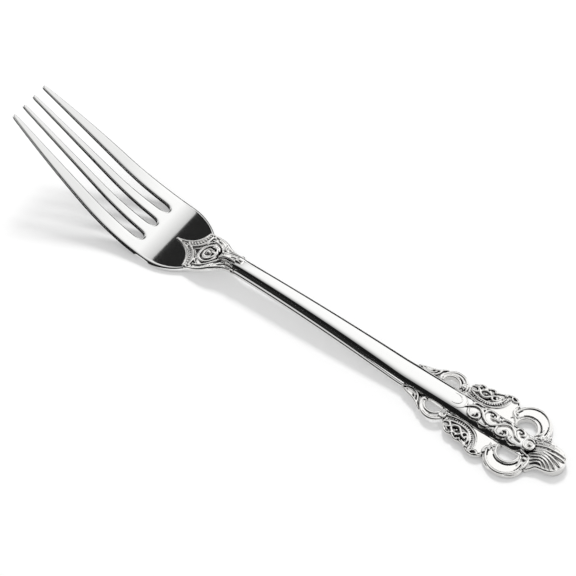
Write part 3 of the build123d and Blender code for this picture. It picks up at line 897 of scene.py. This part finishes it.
def node(tree, kind, links=(), values=(), **settings):
    """Adds a node with its settings and values, and links its inputs to other nodes' outputs."""
    made = tree.nodes.new(kind)
    for name, value in settings.items():
        if name in made.bl_rna.properties:
            setattr(made, name, value)
        else:
            made.inputs[name.replace("_", " ")].default_value = value
    for socket, value in dict(values).items():
        made.inputs[socket].default_value = value
    for socket, (source, output) in dict(links).items():
        tree.links.new(source.outputs[output], made.inputs[socket])
    return made


def new_material(name):
    """An empty node material and its tree."""
    material = bpy.data.materials.new(name)
    material.use_nodes = True
    material.node_tree.nodes.clear()
    return material, material.node_tree


def steel_finish(name, bright, hollow, reach, low, high, smooth, rough, mark_mm, mark_depth):
    """Stainless steel with painted shade: its colour darkens in the hollows, where little open sky
    reaches.

    Reach is how far a hollow darkens, between the low and high share of open sky. The wheel's marks are
    mark_mm apart, and the gloss runs from smooth to rough across them.
    """
    material, tree = new_material(name)
    place = node(tree, "ShaderNodeTexCoord")
    # Painted shade: the share of open sky from an occlusion test darkens the colour in hollows
    shade = node(tree, "ShaderNodeAmbientOcclusion", samples=8, Distance=reach)
    open_sky_share = node(
        tree,
        "ShaderNodeMapRange",
        links={"Value": (shade, "AO")},
        interpolation_type="SMOOTHSTEP",
        From_Min=low,
        From_Max=high,
    )
    tint = node(
        tree,
        "ShaderNodeMix",
        links={"Factor": (open_sky_share, "Result")},
        values={6: (*hollow, 1), 7: (*bright, 1)},
        data_type="RGBA",
    )
    marks = node(
        tree,
        "ShaderNodeTexNoise",
        links={"Vector": (place, "Object")},
        Scale=1000 / mark_mm,
        Detail=4,
    )
    gloss = node(
        tree, "ShaderNodeMapRange", links={"Value": (marks, "Fac")}, To_Min=smooth, To_Max=rough
    )
    bump = node(
        tree, "ShaderNodeBump", links={"Height": (marks, "Fac")}, Strength=mark_depth, Distance=0.00002
    )
    surface = node(
        tree,
        "ShaderNodeBsdfPrincipled",
        links={"Base Color": (tint, 2), "Roughness": (gloss, "Result"), "Normal": (bump, "Normal")},
        Metallic=1,
    )
    node(tree, "ShaderNodeOutputMaterial", links={"Surface": (surface, "BSDF")})
    return material


def polished_steel():
    """Mirror-polished stainless steel: clean reflections, a buffing wheel's faint unevenness, and
    painted shade where it meets other steel.
    """
    found = bpy.data.materials.get("polished stainless steel")
    finish = bpy.context.scene.fork_finish
    return found or steel_finish(
        "polished stainless steel",
        finish.steel,
        finish.steel_painted_shade,
        reach=0.0006,
        low=0.35,
        high=0.8,
        smooth=0.035,
        rough=0.075,
        mark_mm=9,
        mark_depth=0.02,
    )


def carved_steel():
    """Struck stainless steel ornament: bright ridges, and painted shade that darkens its hollows."""
    found = bpy.data.materials.get("struck stainless steel")
    finish = bpy.context.scene.fork_finish
    return found or steel_finish(
        "struck stainless steel",
        finish.carving,
        finish.carving_painted_shade,
        reach=0.0012,
        low=0.43,
        high=0.74,
        smooth=0.05,
        rough=0.13,
        mark_mm=1.5,
        mark_depth=0.06,
    )


# Stage: floor, dark cards, light and camera


def seen_rays(tree):
    """Rays of the camera, of reflections and through clear pieces."""
    path = node(tree, "ShaderNodeLightPath")
    seen = node(
        tree,
        "ShaderNodeMath",
        links={0: (path, "Is Camera Ray"), 1: (path, "Is Glossy Ray")},
        operation="MAXIMUM",
    )
    return node(
        tree,
        "ShaderNodeMath",
        links={0: (seen, "Value"), 1: (path, "Is Transmission Ray")},
        operation="MAXIMUM",
    )


# Spacing of the floor's grain in millimetres, and its share of even white for the eye and the metal
FLOOR_GRAIN = 2.5
FLOOR_WHITE = 0.28


def add_floor():
    """Pale matt floor."""
    clear_selection()
    bpy.ops.mesh.primitive_plane_add(size=6, location=(0, 0, 0))
    floor = bpy.context.object
    floor.name = "floor"
    material, tree = new_material("pale matt floor")
    place = node(tree, "ShaderNodeTexCoord")
    grain = node(
        tree, "ShaderNodeTexNoise", links={"Vector": (place, "Object")}, Scale=1000 / FLOOR_GRAIN
    )
    bump = node(
        tree, "ShaderNodeBump", links={"Height": (grain, "Fac")}, Strength=0.05, Distance=0.0002
    )
    tone = (*bpy.context.scene.fork_finish.floor, 1)
    surface = node(
        tree,
        "ShaderNodeBsdfPrincipled",
        links={"Normal": (bump, "Normal")},
        values={"Base Color": tone, "Roughness": 0.9, "Specular IOR Level": 0.1},
    )
    even = node(tree, "ShaderNodeEmission", values={"Color": (1, 1, 1, 1)})
    share = node(
        tree,
        "ShaderNodeMath",
        links={0: (seen_rays(tree), "Value")},
        values={1: FLOOR_WHITE},
        operation="MULTIPLY",
    )
    mixed = node(
        tree,
        "ShaderNodeMixShader",
        links={0: (share, "Value"), 1: (surface, "BSDF"), 2: (even, "Emission")},
    )
    node(tree, "ShaderNodeOutputMaterial", links={"Surface": (mixed, "Shader")})
    floor.data.materials.append(material)


# Cards seen only in reflections, which paint dark reflections into the metal: four corners in
# millimetres
REFLECTION_CARDS = {
    "bowl_flag": [(-62, 35, 120), (-62, 105, 120), (-165, 105, 120), (-165, 35, 120)],
    "far_board": [(-88, 160, 0), (60, 160, 0), (60, 160, 118), (-88, 160, 118)],
    "front_strip": [(-46, -13, 0.4), (140, -18, 0.4), (300, -1500, 0.4), (-900, -1500, 0.4)],
    "stem_strip": [(-24, -8, 0.4), (46, -9.5, 0.4), (46, -22, 0.4), (-24, -22, 0.4)],
    "tip_board": [(-250, 62, 20), (-250, 95, 20), (-250, 95, 80), (-250, 62, 80)],
    "head_strip": [(-140, 10, 0.4), (-52, 10, 0.4), (-52, -45, 0.4), (-140, -45, 0.4)],
    "far_strip": [(-70, 9, 0.4), (45, 12, 0.4), (45, 120, 0.4), (-70, 120, 0.4)],
}

# Colour of the cards. Above a height, in metres, they are black up to one station along the fork and
# graded from there to another, and the grade starts at a share of that black
CARD_BLACK = "#262626"
GRADED_ABOVE = 0.1
BLACK_END = -0.0777
GRADE_END = -0.062
GRADE_COVER = 0.4


def add_reflection_cards():
    """Black cards that only reflections see: painted dark reflections in the metal, from cards in the
    air and from strips on the floor that darken the floor around the fork as the metal sees it.
    """
    material, tree = new_material("black card with a graded edge")
    place = node(tree, "ShaderNodeTexCoord")
    parts = node(tree, "ShaderNodeSeparateXYZ", links={"Vector": (place, "Object")})
    low = node(
        tree, "ShaderNodeMath", links={0: (parts, "Z")}, values={1: GRADED_ABOVE}, operation="LESS_THAN"
    )
    card = node(
        tree, "ShaderNodeMath", links={0: (parts, "X")}, values={1: BLACK_END}, operation="LESS_THAN"
    )
    grade = node(
        tree,
        "ShaderNodeMapRange",
        links={"Value": (parts, "X")},
        From_Min=BLACK_END,
        From_Max=GRADE_END,
        To_Min=GRADE_COVER,
        To_Max=0,
    )
    solid = node(
        tree, "ShaderNodeMath", links={0: (low, "Value"), 1: (card, "Value")}, operation="MAXIMUM"
    )
    cover = node(
        tree, "ShaderNodeMath", links={0: (solid, "Value"), 1: (grade, "Result")}, operation="MAXIMUM"
    )
    clear = node(tree, "ShaderNodeBsdfTransparent")
    black = node(
        tree,
        "ShaderNodeBsdfPrincipled",
        values={"Base Color": (*linear(CARD_BLACK), 1), "Roughness": 1, "Specular IOR Level": 0},
    )
    surface = node(
        tree, "ShaderNodeMixShader", links={0: (cover, "Value"), 1: (clear, "BSDF"), 2: (black, "BSDF")}
    )
    node(tree, "ShaderNodeOutputMaterial", links={"Surface": (surface, "Shader")})
    for name, corners in REFLECTION_CARDS.items():
        clear_selection()
        bpy.ops.mesh.primitive_plane_add(size=1)
        flag = bpy.context.object
        flag.name = name
        grid_order = (0, 1, 3, 2)
        set_points(flag, np.array([corners[place] for place in grid_order], float) / 1000)
        flag.data.materials.append(material)
        for rays in ("camera", "diffuse", "shadow", "transmission", "volume_scatter"):
            setattr(flag, f"visible_{rays}", False)


# The soft lamp behind the fork: place, size across and power
LAMP_PLACE = (-0.478, 0.767, 1.198)
LAMP_SIZE = 0.34
LAMP_POWER = 12.6

# Level of the surroundings for matt surfaces
FILL = 0.73


def add_light():
    """White surroundings for the eye and the metal, a fill for matt surfaces, and a soft lamp.

    In the metal the surroundings are brightest behind the fork, greyer towards the front and the
    handle's end, and black far to the front, as in a studio with its light at the back.
    """
    scene = bpy.context.scene
    scene.view_settings.view_transform = "Standard"
    world = bpy.data.worlds.new("studio")
    scene.world = world
    world.use_nodes = True
    tree = world.node_tree
    tree.nodes.clear()
    path = node(tree, "ShaderNodeLightPath")
    place = node(tree, "ShaderNodeTexCoord")
    parts = node(tree, "ShaderNodeSeparateXYZ", links={"Vector": (place, "Generated")})
    soft = node(
        tree,
        "ShaderNodeMapRange",
        links={"Value": (parts, "Y")},
        From_Min=-0.2,
        From_Max=0.48,
        To_Min=0.48,
        To_Max=1.14,
    )
    side = node(
        tree,
        "ShaderNodeMapRange",
        links={"Value": (parts, "X")},
        From_Min=0.12,
        From_Max=0.62,
        To_Min=1,
        To_Max=0.82,
    )
    edge = node(
        tree,
        "ShaderNodeMapRange",
        links={"Value": (parts, "Y")},
        interpolation_type="SMOOTHSTEP",
        From_Min=-0.5,
        From_Max=-0.3,
        To_Min=0.02,
    )
    wide = node(
        tree, "ShaderNodeMath", links={0: (soft, "Result"), 1: (side, "Result")}, operation="MULTIPLY"
    )
    fade = node(
        tree, "ShaderNodeMath", links={0: (wide, "Value"), 1: (edge, "Result")}, operation="MULTIPLY"
    )
    seen = node(
        tree,
        "ShaderNodeMath",
        links={0: (path, "Is Glossy Ray"), 1: (path, "Is Transmission Ray")},
        operation="MAXIMUM",
    )
    fill = node(
        tree,
        "ShaderNodeMix",
        links={"Factor": (seen, "Value"), "B": (fade, "Value")},
        values={"A": FILL},
    )
    level = node(
        tree,
        "ShaderNodeMix",
        links={"Factor": (path, "Is Camera Ray"), "A": (fill, "Result")},
        values={"B": 1},
    )
    sky = node(
        tree,
        "ShaderNodeBackground",
        links={"Strength": (level, "Result")},
        values={"Color": (1, 1, 1, 1)},
    )
    node(tree, "ShaderNodeOutputWorld", links={"Surface": (sky, "Background")})

    clear_selection()
    bpy.ops.object.light_add(type="AREA", location=LAMP_PLACE)
    lamp = bpy.context.object
    lamp.name = "back_lamp"
    lamp.data.shape = "DISK"
    lamp.data.size = LAMP_SIZE
    lamp.data.energy = LAMP_POWER
    lamp.visible_glossy = False
    lamp.rotation_euler = (-lamp.location).to_track_quat("-Z", "Y").to_euler()


def add_camera():
    """Camera at the picture's viewing angle."""
    azimuth, elevation, roll = radians(38.21), radians(54.06), radians(-1.93)
    distance = 0.81631
    target = Vector((0.00003, 0.00024, 0.01047))
    back = Vector((sin(azimuth) * cos(elevation), -cos(azimuth) * cos(elevation), sin(elevation)))
    clear_selection()
    bpy.ops.object.camera_add(location=target + back * distance)
    camera = bpy.context.object
    camera.name = "camera"
    turn = (-back).to_track_quat("-Z", "Y") @ Quaternion((0, 0, 1), roll)
    camera.rotation_euler = turn.to_euler()
    camera.data.sensor_width = 36
    camera.data.lens = 164.74
    camera.data.clip_start = 0.01
    camera.data.clip_end = 20
    bpy.context.scene.camera = camera


# Operators: one for each piece or group of like pieces, and one for the stage


class FORK_OT_blank(bpy.types.Operator):
    """Add the fork's struck blank: tines, bowl, neck and bar"""

    bl_idname = "fork.blank"
    bl_label = "Blank"

    def execute(self, context):
        piece = build_blank()
        nodes = ["tine_1", "tine_2", "tine_3", "tine_4", "bowl", "neck", "stem_bar", "handle_bed"]
        finish_piece(piece, "blank", polished_steel(), nodes)
        return {"FINISHED"}


class FORK_OT_ridge(bpy.types.Operator):
    """Add the rounded ridge along the stem and handle"""

    bl_idname = "fork.ridge"
    bl_label = "Ridge"

    def execute(self, context):
        nodes = ["stem_ridge", "handle_ridge"]
        finish_piece(build_ridge(), "ridge", polished_steel(), nodes)
        return {"FINISHED"}


class FORK_OT_ridge_carving(bpy.types.Operator):
    """Add the leaves carved on the ridge and the shield at its end"""

    bl_idname = "fork.ridge_carving"
    bl_label = "Ridge carving"

    def execute(self, context):
        clear_selection()
        pieces = [add_plate([RIDGE_SKIN], *RIDGE_SKIN_LEVELS), add_strokes(RIDGE_STROKES, 1, 0)]
        leaves = carve(pieces + add_beads(RIDGE_BEADS, 1, 0), lay_on_ridge)
        finish_piece(leaves, "ridge_carving", carved_steel(), ["ridge_leaves"])
        clear_selection()
        disc = add_plate([ring(SHIELD, SHIELD_RADIUS)], *SHIELD_LEVELS)
        pieces = [disc, add_strokes(SHIELD_STROKES, 1, 0)]
        shield = carve(pieces + add_beads([SHIELD_BEAD], 1, SHIELD_BEAD_LEVEL), wrap)
        finish_piece(shield, "ridge_shield", carved_steel(), ["ridge_boss"])
        return {"FINISHED"}


class FORK_OT_crest(bpy.types.Operator):
    """Add the neck's crest with its rims, pearls, leaves and flower"""

    bl_idname = "fork.crest"
    bl_label = "Crest"

    def execute(self, context):
        clear_selection()
        outline = CREST_HALF + [(x, -y) for x, y in reversed(CREST_HALF[1:])]
        pieces = [add_plate([outline], *CREST_LEVELS)]
        for side in (1, -1):
            pieces.append(add_strokes(CREST_STROKES, side, CREST_STROKE_LEVEL))
            pieces += add_beads(CREST_BEADS, side, CREST_BEAD_LEVEL)
        crest = carve(pieces, lay_on_ridge)
        nodes = ["neck_crest", "crest_rim", "neck_leaf", "neck_bead_left", "neck_bead_right"]
        finish_piece(crest, "crest", carved_steel(), nodes)
        clear_selection()
        petals = add_strokes(FLOWER_STROKES, 1, FLOWER_LEVEL)
        flower = carve([petals, *add_beads([FLOWER_BEAD], 1, FLOWER_BEAD_LEVEL)], wrap)
        finish_piece(flower, "flower", carved_steel(), ["neck_rosette"])
        return {"FINISHED"}


class FORK_OT_handle_sides(bpy.types.Operator):
    """Add the openwork on both sides of the handle: leaf, scrolls and panel"""

    bl_idname = "fork.handle_sides"
    bl_label = "Handle sides"

    def execute(self, context):
        upper = [UPPER_OUTLINE, UPPER_HOLE_OUTLINE]
        lower = [LOWER_OUTLINE, LOWER_HOLE_OUTLINE]
        drawings = {
            "entry_leaf": ([LEAF_OUTLINE], [], LEAF_STROKES, []),
            "upper_scroll": (upper, [], UPPER_STROKES, UPPER_BEADS),
            "side_panel": ([PANEL_OUTLINE], [PANEL_LAND], PANEL_STROKES, PANEL_BEADS),
            "lower_scroll": (lower, [LOWER_LAND], LOWER_STROKES, LOWER_BEADS),
        }
        for side, word in ((1, "right"), (-1, "left")):
            for step, (name, drawing) in enumerate(drawings.items()):
                piece = carved_side(side, *drawing, under=BACK_LIFT + BACK_STAGGER * (step % 2))
                node_name = f"{name}_{word}"
                finish_piece(piece, f"carved_{node_name}", carved_steel(), [node_name])
        return {"FINISHED"}


class FORK_OT_terminal(bpy.types.Operator):
    """Add the fluted shell at the handle's end"""

    bl_idname = "fork.terminal"
    bl_label = "Terminal shell"

    def execute(self, context):
        outline = SHELL_HALF + [SHELL_TIP] + [(x, -y) for x, y in reversed(SHELL_HALF)]
        shell = carved_side(1, [outline], [], SHELL_STROKES, SHELL_BEADS, lay_on_dome, SHELL_FIELD)
        finish_piece(shell, "shell", carved_steel(), ["terminal_shell"])
        return {"FINISHED"}


class FORK_OT_stage(bpy.types.Operator):
    """Add the floor, soft studio light, dark flags for the reflections, and the camera"""

    bl_idname = "fork.stage"
    bl_label = "Stage"

    def execute(self, context):
        add_floor()
        add_reflection_cards()
        add_light()
        add_camera()
        return {"FINISHED"}


class FORK_PT_panel(bpy.types.Panel):
    """Sidebar panel with the fork's sizes, colours and pieces"""

    bl_idname = "FORK_PT_panel"
    bl_label = "Dinner fork"
    bl_space_type = "VIEW_3D"
    bl_region_type = "UI"
    bl_category = "Fork"

    def draw(self, context):
        scene = context.scene
        for group in (scene.fork_sides, scene.fork_plan, scene.fork_relief, scene.fork_finish):
            box = self.layout.box()
            for name in group.__annotations__:
                box.prop(group, name)
        for operator in OPERATORS:
            self.layout.operator(operator.bl_idname)


GROUPS = {
    "fork_sides": ForkSides,
    "fork_plan": ForkPlan,
    "fork_relief": ForkRelief,
    "fork_finish": ForkFinish,
}
OPERATORS = (
    FORK_OT_blank,
    FORK_OT_ridge,
    FORK_OT_ridge_carving,
    FORK_OT_crest,
    FORK_OT_handle_sides,
    FORK_OT_terminal,
    FORK_OT_stage,
)


def register():
    """Registers the fork's settings, operators and panel."""
    for name, group in GROUPS.items():
        bpy.utils.register_class(group)
        setattr(bpy.types.Scene, name, bpy.props.PointerProperty(type=group))
    for operator in OPERATORS:
        bpy.utils.register_class(operator)
    bpy.utils.register_class(FORK_PT_panel)


def unregister():
    """Removes what register added."""
    bpy.utils.unregister_class(FORK_PT_panel)
    for operator in reversed(OPERATORS):
        bpy.utils.unregister_class(operator)
    for name, group in GROUPS.items():
        delattr(bpy.types.Scene, name)
        bpy.utils.unregister_class(group)


def main():
    """Builds the dressed fork and its stage."""
    register()
    bpy.ops.fork.blank()
    bpy.ops.fork.ridge()
    bpy.ops.fork.ridge_carving()
    bpy.ops.fork.crest()
    bpy.ops.fork.handle_sides()
    bpy.ops.fork.terminal()
    bpy.ops.fork.stage()


if __name__ == "__main__":
    main()
